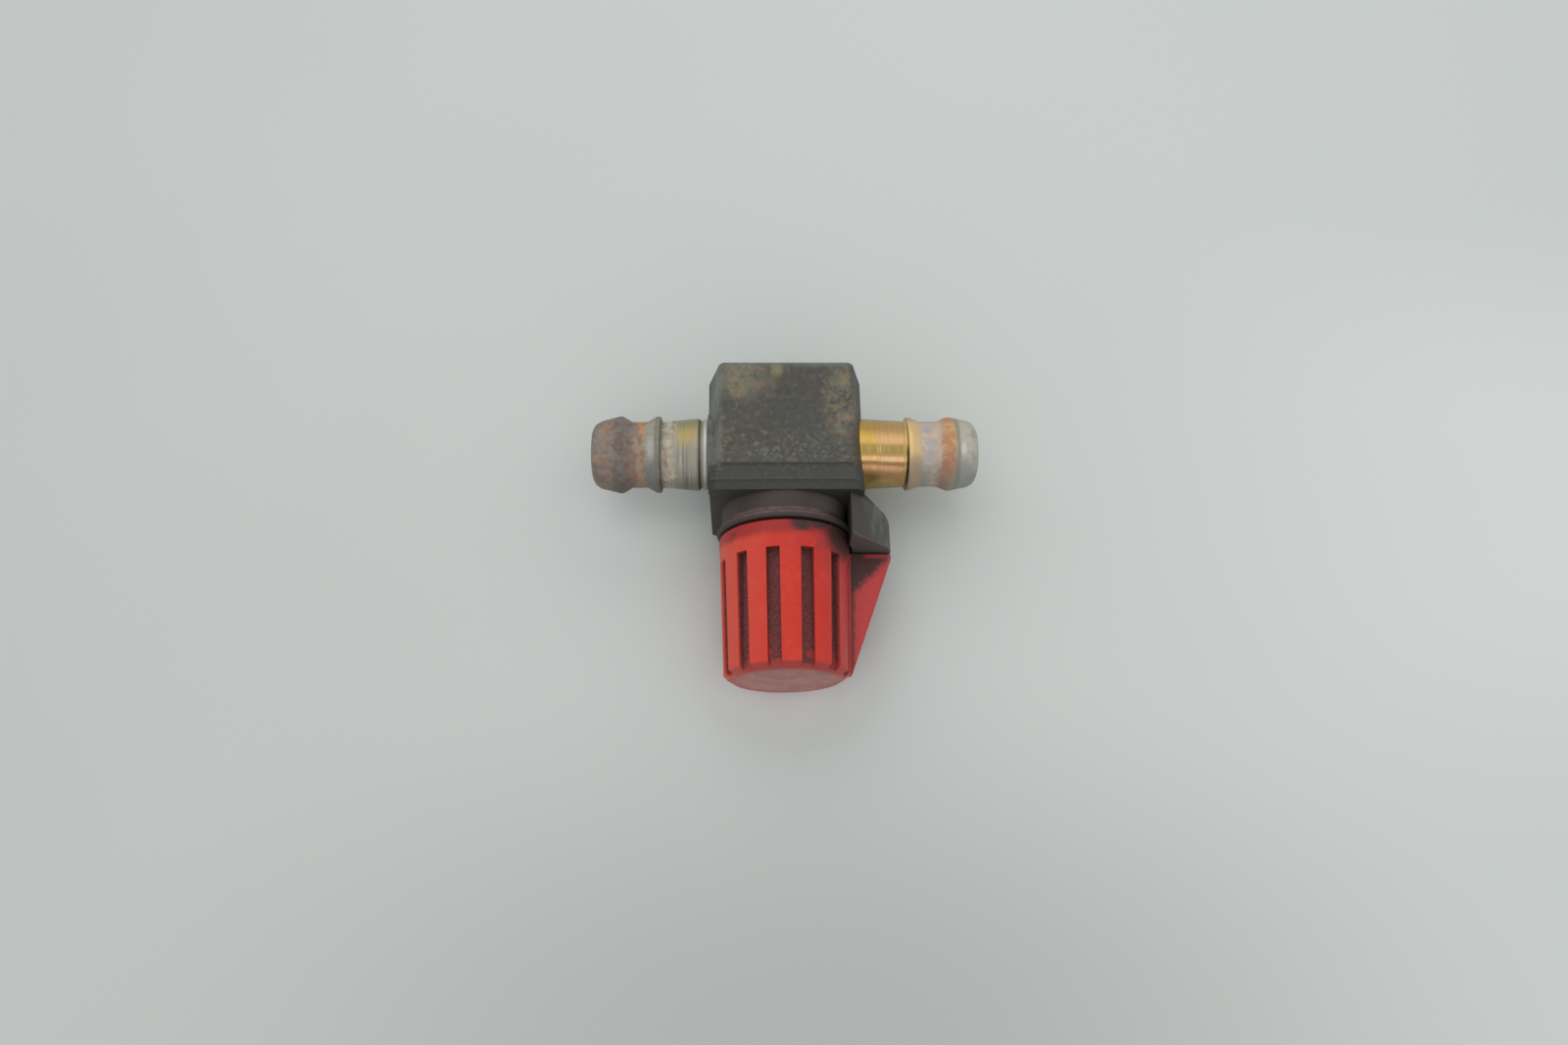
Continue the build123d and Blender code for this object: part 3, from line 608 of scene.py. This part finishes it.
def paint_rusted_tail(colours):
    """Steel whose plating has gone to rust, worst at the nose."""
    paint = Paint("rusted_steel")
    x, y, z = paint.x, paint.y, paint.z
    # Noises that break up the borders
    edge = paint.cloud(0.42, 5, 0.62, 14)
    coarse = paint.cloud(0.3, 5, 0.62, 5)
    medium = paint.cloud(0.75, 5, 0.66, 25)
    fine = paint.cloud(2.4, 5, 0.72, 35)
    deep = -x
    along = deep + (edge - 0.5) * 4
    # Worn plating next to the body
    rings = paint.cloud(1, 4, 0.65, 9, (2.6, 0.04, 0.04))
    paint.colour = paint.mix((0.43, 0.39, 0.31), (0.2, 0.185, 0.145), rings.rise(0.42, 0.62))
    paint.coat((0.31, 0.295, 0.275), coarse.rise(0.46, 0.58) * 0.45)
    yellow = paint.spot((-21.4, 2.3, 22.8), 3.3, 0.5, (0.8, 1, 0.9)) * edge.rise(0.28, 0.46)
    paint.coat((0.44, 0.325, 0.115), yellow * 0.85)
    olive = paint.spot((-21.2, 6.4, 20.2), 3.4, 0.6, (1.1, 0.9, 1))
    paint.coat((0.31, 0.31, 0.155), olive * 0.7)
    # Cream deposit and brown rust before the rear ridge
    cream = along.band(24, 27, 0.8) * medium.rise(0.36, 0.54)
    paint.coat((0.55, 0.48, 0.38), cream * 0.9)
    brown = along.band(25.7, 27.4, 0.5) * paint.cloud(0.55, 5, 0.66, 3).rise(0.44, 0.55)
    paint.coat(colours.brown_rust, brown * 0.45)
    # Rear ridge
    ridge = (deep + (edge - 0.5) * 1.5).band(27.6, 31.4, 0.4)
    ledge = paint.mix((0.37, 0.34, 0.27), (0.2, 0.19, 0.175), (-y + (edge - 0.5) * 4).rise(2.5, 6))
    ledge = paint.mix(ledge, (0.2, 0.24, 0.205), y.rise(4.5, 7.5) * 0.8)
    ledge = paint.mix(ledge, (0.2, 0.165, 0.125), (medium * 0.6 + fine * 0.4).rise(0.5, 0.62) * 0.75)
    ledge = paint.mix(ledge, (0.16, 0.17, 0.14), deep.band(27.6, 28.5, 0.3) * 0.7)
    paint.coat(ledge, ridge * 0.9)
    lilac = paint.spot((-29.4, -1.8, 23.4), 2.3, 0.7, (0.34, 1.1, 1)) * medium.rise(0.34, 0.54)
    paint.coat((0.5, 0.465, 0.47), lilac * 0.7)
    steep_flank = deep.band(26.9, 27.4, 0.2)
    paint.coat((0.24, 0.225, 0.18), steep_flank * 0.6)
    # Flame-coloured neck
    tan = along.band(30.7, 33.2, 0.5)
    flame = paint.mix(colours.tan, (0.5, 0.255, 0.13), (y + (medium - 0.5) * 9).rise(-0.5, 3))
    flame = paint.mix(flame, (0.25, 0.2, 0.13), (fine * 0.5 + medium * 0.5).rise(0.56, 0.66) * 0.6)
    scorch = paint.cloud(0.62, 5, 0.68, 91).rise(0.5, 0.6)
    flame = paint.mix(flame, (0.2, 0.115, 0.08), scorch * 0.6)
    paint.coat(flame, tan * 0.95)
    # Scale on the outer ridge and the nose
    rust = along.rise(32.1, 33.3)
    rusty = paint.mix((0.265, 0.195, 0.16), (0.175, 0.135, 0.115), coarse.rise(0.42, 0.56))
    band = (deep + (edge - 0.5) * 3).band(35.3, 37.6, 0.7)
    rusty = paint.mix(rusty, (0.135, 0.106, 0.09), band * 0.85)
    warm = paint.spot((-39.7, 3.2, 22.3), 2.6, 0.7, (0.7, 0.9, 1))
    warm |= paint.spot((-40, -2.6, 22.3), 2.6, 0.7, (0.7, 1, 1))
    warm |= along.band(37.8, 41, 0.8) * 0.45
    rusty = paint.mix(rusty, (0.41, 0.225, 0.13), warm * medium.rise(0.36, 0.62) * 0.75)
    red = along.band(32.2, 34.6, 0.5) * (-y + (medium - 0.5) * 8).rise(0, 4)
    rusty = paint.mix(rusty, (0.275, 0.125, 0.098), red * 0.8)
    ash = paint.cloud(0.45, 5, 0.64, 41).rise(0.46, 0.6)
    rusty = paint.mix(rusty, (0.25, 0.225, 0.205), ash * 0.6)
    flake = fine.rise(0.6, 0.7) * medium.rise(0.48, 0.6)
    rusty = paint.mix(rusty, (0.42, 0.33, 0.26), flake * 0.5)
    paint.coat(rusty, rust * 0.97)
    # Bright ring, painted light in the groove to lift its shade, and painted shade on the underside
    paint.coat((0.6, 0.6, 0.57), deep.band(16.6, 17.8, 0.12) * 0.85)
    paint.coat((0.27, 0.25, 0.18), deep.band(17.9, 18.6, 0.15) * 0.7)
    under = z.fall(9, 15) | (-y).rise(6.6, 8.2) * 0.8
    paint.coat((0.105, 0.112, 0.102), under * 0.6)
    paint.set("Base Color", paint.colour)
    # Gloss and relief
    dull = (cream | rust | brown | tan | ridge * 0.85 | lilac) & 1
    paint.set("Metallic", 0.65 * (1 - dull))
    paint.set("Roughness", 0.38 + 0.4 * dull + 0.16 * rings)
    height = rings * 0.7 * (1 - dull) + (fine * 0.8 + medium * 1.5) * dull + coarse * rust * 1.5
    paint.bump(height, 0.5, 0.16)
    return paint.material


def paint_grit(name, dark, pale):
    """Loose grains, no two quite alike."""
    paint = Paint(name)
    mixed = paint.cloud(0.9, 3, 0.6, 12).rise(0.38, 0.62)
    paint.set("Base Color", paint.mix(dark, pale, mixed))
    paint.set("Roughness", 0.8 + 0.1 * mixed)
    return paint.material


def strewn_tree():
    """Geometry Nodes that strew flat grains in clumps over a surface, made once."""
    tree = bpy.data.node_groups.get("strewn_grains")
    if tree:
        return tree
    tree = bpy.data.node_groups.new("strewn_grains", "GeometryNodeTree")
    for title, kind in (
        ("Geometry", "NodeSocketGeometry"),
        ("Density", "NodeSocketFloat"),
        ("Clump", "NodeSocketFloat"),
        ("Grain", "NodeSocketFloat"),
        ("Seed", "NodeSocketInt"),
        ("Material", "NodeSocketMaterial"),
    ):
        tree.interface.new_socket(title, in_out="INPUT", socket_type=kind)
    tree.interface.new_socket("Geometry", in_out="OUTPUT", socket_type="NodeSocketGeometry")
    graph = Graph(tree)
    entry = graph.node("NodeGroupInput")
    seed = entry.part("Seed")
    place = graph.node("GeometryNodeInputPosition")
    clump = graph.node(
        "ShaderNodeTexNoise", None, {"Vector": place, "Scale": entry.part("Clump"), "Detail": 3}
    )
    thick = entry.part("Density") * clump.rise(0.46, 0.64)
    points = graph.node(
        "GeometryNodeDistributePointsOnFaces", None, {"Mesh": entry, "Density": thick, "Seed": seed}
    )
    shape = graph.node(
        "FunctionNodeRandomValue",
        {"data_type": "FLOAT_VECTOR"},
        {0: (0.35, 0.35, 0.25), 1: (1, 1, 0.6), "Seed": seed},
    )
    scale = graph.node(
        "ShaderNodeVectorMath", {"operation": "SCALE"}, {0: shape, "Scale": entry.part("Grain")}
    )
    grain = graph.node("GeometryNodeMeshIcoSphere", None, {"Radius": 1, "Subdivisions": 1})
    laid = graph.node(
        "GeometryNodeInstanceOnPoints",
        None,
        {"Points": points, "Instance": grain, "Rotation": points.part("Rotation"), "Scale": scale},
    )
    real = graph.node("GeometryNodeRealizeInstances", None, {"Geometry": laid})
    final = graph.node(
        "GeometryNodeSetMaterial", None, {"Geometry": real, "Material": entry.part("Material")}
    )
    tree.links.new(final.socket, tree.nodes.new("NodeGroupOutput").inputs[0])
    return tree


def strewn_grains(name, piece, chosen, material, density, clump, grain, seed):
    """Plain mesh of grains on chosen faces, with density per square millimetre, clumps per millimetre."""
    work = bmesh.new()
    work.from_mesh(piece.data)
    others = [face for face in work.faces if not chosen(face.calc_center_median() / MM, face.normal)]
    bmesh.ops.delete(work, geom=others, context="FACES")
    mesh = bpy.data.meshes.new(name)
    work.to_mesh(mesh)
    work.free()
    grains = add_object(name, mesh, [])
    modifier = grains.modifiers.new("grains", "NODES")
    modifier.node_group = strewn_tree()
    values = {
        "Density": density / MM**2,
        "Clump": clump / MM,
        "Grain": grain,
        "Seed": seed,
        "Material": material,
    }
    for item in modifier.node_group.interface.items_tree:
        if item.in_out == "INPUT" and item.name in values:
            modifier[item.identifier] = values[item.name]
    evaluated_mesh(grains, name)
    if not grains.data.polygons:
        raise RuntimeError(f"no grains were laid for {name}")
    return grains


def on_ledges(place, normal):
    """Whether a face of the body lies on its front steps, its collar or its ear."""
    return place.y < -8.3 and place.z > 16 and normal.z > 0.3 and place.z < 30


def in_slots(place, normal):
    """Whether a face of the knob is the floor of a slot."""
    radius = math.hypot(place.x, place.z - AXIS)
    return 11 < radius < 13 and -51 < place.y < -26


def on_scale(place, normal):
    """Whether a face of the left tail carries thick rust."""
    radius = math.hypot(place.y, place.z - AXIS)
    return radius > 6.8 and -41.6 < place.x < -33.2


def paint_plain(name, colour, metallic, rough, grain_scale):
    """A finish for inner pieces, with a little unevenness."""
    paint = Paint(name)
    grain = paint.cloud(grain_scale, 4, 0.6, 2)
    dark = tuple(c * 0.72 for c in colour)
    paint.set("Base Color", paint.mix(dark, colour, grain.rise(0.3, 0.7)))
    paint.set("Metallic", metallic)
    paint.set("Roughness", rough + 0.15 * grain)
    paint.bump(grain, 0.2, 0.05)
    return paint.material


def paint_floor(colours):
    """Pale table top."""
    paint = Paint("table_top")
    wide = paint.cloud(0.008, 3, 0.5, 6)
    first = colours.floor
    second = tuple(c * 0.84 for c in first)
    # Painted light: brighter towards the right and the back, with broad random tone
    light = 0.45 + 0.002 * paint.x + 0.0006 * paint.y + 0.3 * wide
    paint.colour = paint.mix(second, first, light.rise(0, 1))
    shade = paint.spot((0, -125, 0), 60, 0.9, (1.5, 0.8, 1))
    paint.coat((0.465, 0.48, 0.465), shade)
    sunny = paint.x.rise(70, 190) * paint.y.band(-60, 50, 35)
    paint.coat((0.72, 0.74, 0.72), sunny)
    # Painted light under and beside the part, lifting its contact shadow
    pale = paint.spot((2, -47, 0), 9, 0.9, (1.25, 1, 1)) * 0.9
    pale |= paint.spot((-29, -8, 0), 9, 0.9, (1.5, 1, 1)) * 0.45
    paint.coat((0.87, 0.89, 0.87), pale)
    paint.set("Base Color", paint.colour)
    paint.set("Roughness", 0.6)
    return paint.material


def add_object(name, mesh, materials):
    """Links a mesh to the scene as a new object."""
    made = bpy.data.objects.new(name, mesh)
    for material in materials:
        mesh.materials.append(material)
    bpy.context.scene.collection.objects.link(made)
    return made


def evaluated_mesh(made, name):
    """The object's mesh with its modifiers worked in, as a plain mesh."""
    bpy.context.view_layer.update()
    depsgraph = bpy.context.evaluated_depsgraph_get()
    mesh = bpy.data.meshes.new_from_object(made.evaluated_get(depsgraph))
    mesh.name = name
    made.modifiers.clear()
    made.data = mesh
    return mesh


def softened_copy(node, name, width, material, outside):
    """A copy of a CAD node with its sharp outer edges rounded and marked as worn."""
    mesh = frame["nodes"][node].data.copy()
    work = bmesh.new()
    work.from_mesh(mesh)
    bmesh.ops.remove_doubles(work, verts=work.verts, dist=MERGE_DISTANCE)
    bmesh.ops.dissolve_limit(
        work, angle_limit=FLAT_ANGLE, verts=work.verts, edges=work.edges, use_dissolve_boundaries=False
    )
    worn = work.verts.layers.float.new("worn")
    sharp = []
    for edge in work.edges:
        if not edge.is_manifold or edge.calc_face_angle(0) < SHARP_ANGLE:
            continue
        if outside((edge.verts[0].co + edge.verts[1].co) / (2 * MM)):
            sharp.append(edge)
    made = bmesh.ops.bevel(
        work,
        geom=sharp,
        offset=width,
        offset_type="OFFSET",
        segments=BEVEL_SEGMENTS,
        profile=0.5,
        affect="EDGES",
        clamp_overlap=True,
    )
    rounded = set(made["faces"])
    for vert in made["verts"]:
        if all(face in rounded for face in vert.link_faces):
            vert[worn] = 1.0
    bmesh.ops.recalc_face_normals(work, faces=work.faces)
    work.to_mesh(mesh)
    work.free()
    mesh.materials.clear()
    piece = add_object(name, mesh, [material])
    for polygon in mesh.polygons:
        polygon.use_smooth = True
    weighted = piece.modifiers.new("normals", "WEIGHTED_NORMAL")
    weighted.keep_sharp = True
    weighted.weight = FACE_WEIGHT
    evaluated_mesh(piece, name)
    return piece


def outside_body(place):
    """Whether a place on the moulded body, in millimetres, is clear of its bores."""
    up = place.z - AXIS
    from_pipe = math.hypot(place.y, up)
    from_spindle = math.hypot(place.x, up)
    return (from_pipe > 8.7 or abs(place.x) < 12) and from_spindle > 11.2


def outside_knob(place):
    """Whether a place on the knob, in millimetres, lies on its outer faces."""
    return math.hypot(place.x, place.z - AXIS) > 11.2


def of_side(sizes, side, name):
    """The left or right one of a pair of lengths."""
    return getattr(sizes, ("left_" if side < 0 else "right_") + name)


def tail_corners(sizes, side):
    """Half section of a hose tail, from the inner end outwards, as (along, radius) in metres."""
    middle = sizes.spigot_end + sizes.seal_inset
    groove = sizes.seal_groove / 2
    low = sizes.spigot_radius - sizes.seal_depth
    reach = of_side(sizes, side, "reach")
    face = reach + sizes.shoulder_width
    relief = sizes.base_radius - sizes.relief_depth
    ridge = of_side(sizes, side, "ridge")
    base = [(reach, sizes.base_radius)]
    if side < 0:
        base = [
            (reach, sizes.shoulder_radius),
            (face, sizes.shoulder_radius),
            (face, relief),
            (face + sizes.relief_width, relief),
            (face + sizes.relief_width + sizes.ridge_foot, sizes.base_radius),
        ]
    rear = of_side(sizes, side, "rear") + sizes.ridge_foot
    front = of_side(sizes, side, "front")
    end = of_side(sizes, side, "end")
    bend = NOSE_BEND * sizes.nose_round
    return [
        (sizes.spigot_end, sizes.flow_radius),
        (sizes.spigot_end, sizes.spigot_radius),
        (middle - groove, sizes.spigot_radius),
        (middle - groove, low),
        (middle + groove, low),
        (middle + groove, sizes.spigot_radius),
        (reach, sizes.spigot_radius),
        *base,
        (rear - sizes.ridge_foot, sizes.neck_radius),
        (rear, ridge),
        (rear + sizes.ridge_land, ridge),
        (rear + sizes.ridge_land + sizes.ridge_slope, sizes.neck_radius),
        (front - sizes.ridge_slope, sizes.neck_radius),
        (front, ridge),
        (front + sizes.ridge_land, ridge),
        (end - sizes.nose_round, sizes.nose_radius),
        (end - bend, sizes.nose_radius - bend),
        (end, sizes.nose_radius - sizes.nose_round),
        (end, sizes.flow_radius),
    ]


def rounded_corners(corners, reach):
    """Cuts each corner of a closed outline back by a short length, twice, for soft turned edges."""
    for share in (reach, reach * SECOND_CUT):
        result = []
        count = len(corners)
        for i, corner in enumerate(corners):
            here = Vector(corner)
            before = Vector(corners[i - 1])
            after = Vector(corners[(i + 1) % count])
            back = min(share, (before - here).length * LONGEST_CUT)
            ahead = min(share, (after - here).length * LONGEST_CUT)
            result.append(tuple(here + (before - here).normalized() * back))
            result.append(tuple(here + (after - here).normalized() * ahead))
        corners = result
    return corners


def turned_points(corners, spacing):
    """Points along a closed outline, no further apart than the spacing."""
    points = []
    count = len(corners)
    for i in range(count):
        start = Vector(corners[i])
        end = Vector(corners[(i + 1) % count])
        steps = max(1, math.ceil((end - start).length / spacing))
        for k in range(steps):
            points.append(start.lerp(end, k / steps))
    return points


def rust_depth(along, spot, strength):
    """How far corrosion has lowered or raised the surface at a place, in metres."""
    if along < RUST_START * MM or strength == 0:
        return 0.0
    amount = min(1.0, max(RUST_LEAST, (along / MM - RUST_RISE) / RUST_SPREAD))
    scale = spot / MM
    coarse = noise.fractal(scale * COARSE_SCALE, 1.0, 2.0, 4)
    fine = noise.noise(scale * FINE_SCALE)
    pits = max(0.0, noise.noise(scale * PIT_SCALE + PIT_SHIFT) - PIT_START)
    relief = COARSE_DEPTH * coarse + FINE_DEPTH * fine - PIT_DEPTH * pits
    return strength * amount * relief * MM


def turned_tail(name, side, sizes, strength, material):
    """A hose tail spun from its section, with corrosion in the surface."""
    corners = rounded_corners(tail_corners(sizes, side), EDGE_CUT)
    profile = turned_points(corners, SPACING)
    nick_start = of_side(sizes, side, "end") - NICK_LENGTH
    work = bmesh.new()
    rings = []
    for along, radius in profile:
        ring = []
        outside = radius > sizes.flow_radius + BORE_MARGIN
        for k in range(AROUND):
            angle = 2 * math.pi * k / AROUND
            across = Vector((0, math.cos(angle), math.sin(angle)))
            place = Vector((side * along, 0, 0)) + across * radius
            depth = rust_depth(along, place, strength) if outside else 0.0
            notch = 0.0
            if side < 0 and outside and along > nick_start:
                gap = (angle - NICK_ANGLE) / NICK_WIDTH
                notch = -NICK_DEPTH * math.exp(-gap * gap) * min(1, (along - nick_start) / MM)
            place = Vector((side * along, 0, 0)) + across * (radius + depth + notch)
            place.z += sizes.axis_height
            ring.append(work.verts.new(place))
        rings.append(ring)
    for i, ring in enumerate(rings):
        following = rings[(i + 1) % len(rings)]
        for k in range(AROUND):
            j = (k + 1) % AROUND
            work.faces.new((ring[k], ring[j], following[j], following[k]))
    bmesh.ops.recalc_face_normals(work, faces=work.faces)
    mesh = bpy.data.meshes.new(name)
    work.to_mesh(mesh)
    work.free()
    for polygon in mesh.polygons:
        polygon.use_smooth = True
    return add_object(name, mesh, [material])


class VALVE_OT_body(bpy.types.Operator):
    """Builds the moulded body and finishes the bonnet"""

    bl_idname = "valve.body"
    bl_label = "Moulded body"

    def execute(self, context):
        sizes = context.scene.valve_sizes
        material = paint_black_moulding(context.scene.valve_colours)
        body = softened_copy("valve_body", "moulded_body", sizes.body_edge, material, outside_body)
        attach(body, HOUSING)
        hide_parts("valve_body")
        frame["nodes"]["bonnet"].material_slots[0].material = material
        dirt = paint_grit("road_grit", (0.07, 0.06, 0.05), (0.24, 0.20, 0.16))
        grit = strewn_grains(
            "ledge_grit", body, on_ledges, dirt, density=0.55, clump=0.35, grain=sizes.grain, seed=4
        )
        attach(grit, HOUSING)
        return {"FINISHED"}


class VALVE_OT_tails(bpy.types.Operator):
    """Builds the two turned hose tails"""

    bl_idname = "valve.tails"
    bl_label = "Hose tails"

    def execute(self, context):
        sizes = context.scene.valve_sizes
        colours = context.scene.valve_colours
        plated = paint_plated_tail(colours)
        rusted = paint_rusted_tail(colours)
        left = turned_tail("rusted_hose_tail", -1, sizes, LEFT_CORROSION, rusted)
        right = turned_tail("plated_hose_tail", 1, sizes, RIGHT_CORROSION, plated)
        for tail, node, slot in (
            (left, "left_hose_tail", "rusted_steel"),
            (right, "right_hose_tail", "plated_steel"),
        ):
            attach(tail, HOUSING)
            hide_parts(node)
        scale = paint_grit("rust_flakes", colours.brown_rust, colours.tan)
        flakes = strewn_grains(
            "rust_flakes", left, on_scale, scale, density=1.6, clump=0.5, grain=sizes.grain * 1.15, seed=9
        )
        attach(flakes, HOUSING)
        return {"FINISHED"}


class VALVE_OT_knob(bpy.types.Operator):
    """Builds the ribbed pointer knob"""

    bl_idname = "valve.knob"
    bl_label = "Knob"

    def execute(self, context):
        sizes = context.scene.valve_sizes
        material = paint_red_moulding(context.scene.valve_colours)
        knob = softened_copy("knob", "ribbed_knob", sizes.knob_edge, material, outside_knob)
        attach(knob, TURNING)
        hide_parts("knob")
        soil = paint_grit("slot_crumbs", (0.05, 0.026, 0.026), (0.22, 0.13, 0.12))
        crumbs = strewn_grains(
            "slot_crumbs", knob, in_slots, soil, density=1.1, clump=0.4, grain=sizes.grain, seed=2
        )
        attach(crumbs, TURNING)
        return {"FINISHED"}


class VALVE_OT_inside(bpy.types.Operator):
    """Finishes the plug, the seats, the seals and the spring"""

    bl_idname = "valve.inside"
    bl_label = "Inner pieces"

    def execute(self, context):
        colours = context.scene.valve_colours
        finishes = {
            "plug_brass": paint_plain("turned_brass", colours.brass, 1.0, 0.3, 0.8),
            "seal_rubber": paint_plain("seal_rubber", colours.seal, 0.0, 0.55, 2.0),
            "seat_plastic": paint_plain("seat_plastic", colours.seat, 0.0, 0.45, 1.0),
            "spring_steel": paint_plain("spring_steel", colours.spring, 1.0, 0.35, 1.5),
        }
        for entry in frame["record"]["subparts"]:
            material = finishes.get(entry["material_slot"])
            if material:
                frame["nodes"][entry["node"]].material_slots[0].material = material
        return {"FINISHED"}


class VALVE_OT_stage(bpy.types.Operator):
    """Sets the floor, the light and the camera"""

    bl_idname = "valve.stage"
    bl_label = "Stage"

    def execute(self, context):
        scene = context.scene
        stage = scene.valve_stage
        floor_mesh = bpy.data.meshes.new("table")
        half = FLOOR_HALF
        corners = [(-half, -half, 0), (half, -half, 0), (half, half, 0), (-half, half, 0)]
        floor_mesh.from_pydata(corners, [], [(0, 1, 2, 3)])
        floor = add_object("table", floor_mesh, [paint_floor(scene.valve_colours)])
        for name, place, size, power in (
            ("key", (-0.26, 0.40, 0.66), 1.20, 2.3),
            ("fill", (0.40, 0.10, 0.75), 1.00, 0.6),
            ("front", (-0.14, -0.58, 0.58), 1.10, 1.3),
        ):
            lamp = bpy.data.lights.new(name, "AREA")
            lamp.shape = "DISK"
            lamp.size = size
            lamp.energy = power
            light = bpy.data.objects.new(name, lamp)
            light.location = place
            aim = LIGHT_AIM - Vector(place)
            light.rotation_euler = aim.to_track_quat("-Z", "Y").to_euler()
            scene.collection.objects.link(light)
        world = bpy.data.worlds.new("studio")
        world.use_nodes = True
        background = world.node_tree.nodes["Background"]
        background.inputs["Color"].default_value = SKY_COLOUR
        background.inputs["Strength"].default_value = SKY_STRENGTH
        scene.world = world
        scene.view_settings.view_transform = "Standard"
        scene.collection.objects.link(self.camera(scene, stage))
        return {"FINISHED"}

    def camera(self, scene, stage):
        """The camera where the photograph was taken from."""
        lens = bpy.data.cameras.new("photo_view")
        lens.sensor_fit = "HORIZONTAL"
        lens.sensor_width = SENSOR_WIDTH
        lens.lens = SENSOR_WIDTH * stage.focal_pixels / PHOTO_WIDTH
        lens.clip_start = NEAR_CLIP
        made = bpy.data.objects.new("photo_view", lens)
        back = Vector((-math.tan(stage.side), -math.tan(stage.tilt), 1)).normalized()
        up = Vector((0, 1, 0))
        up = (up - back * up.dot(back)).normalized()
        right = up.cross(back)
        turned_right = right * math.cos(stage.spin) + up * math.sin(stage.spin)
        turned_up = up * math.cos(stage.spin) - right * math.sin(stage.spin)
        aim = Vector((stage.aim_x, stage.aim_y, scene.valve_sizes.axis_height))
        matrix = Matrix((turned_right, turned_up, back)).transposed().to_4x4()
        matrix.translation = aim + back * stage.distance
        made.matrix_world = matrix
        scene.camera = made
        return made


class VALVE_PT_panel(bpy.types.Panel):
    """Lists the valve's pieces"""

    bl_label = "Coolant valve"
    bl_idname = "VALVE_PT_panel"
    bl_space_type = "VIEW_3D"
    bl_region_type = "UI"
    bl_category = "Valve"

    def draw(self, context):
        for operator in OPERATORS:
            self.layout.operator(operator.bl_idname)


OPERATORS = (VALVE_OT_body, VALVE_OT_tails, VALVE_OT_knob, VALVE_OT_inside, VALVE_OT_stage)
CLASSES = (ValveSizes, ValveColours, ValveStage) + OPERATORS + (VALVE_PT_panel,)


def register():
    """Adds the classes and the settings to Blender."""
    for kind in CLASSES:
        bpy.utils.register_class(kind)
    bpy.types.Scene.valve_sizes = bpy.props.PointerProperty(type=ValveSizes)
    bpy.types.Scene.valve_colours = bpy.props.PointerProperty(type=ValveColours)
    bpy.types.Scene.valve_stage = bpy.props.PointerProperty(type=ValveStage)


def unregister():
    """Takes the classes and the settings out again."""
    del bpy.types.Scene.valve_stage
    del bpy.types.Scene.valve_colours
    del bpy.types.Scene.valve_sizes
    for kind in reversed(CLASSES):
        bpy.utils.unregister_class(kind)


def main():
    """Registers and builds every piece."""
    register()
    bpy.ops.valve.body()
    bpy.ops.valve.tails()
    bpy.ops.valve.knob()
    bpy.ops.valve.inside()
    bpy.ops.valve.stage()


if __name__ == "__main__":
    main()
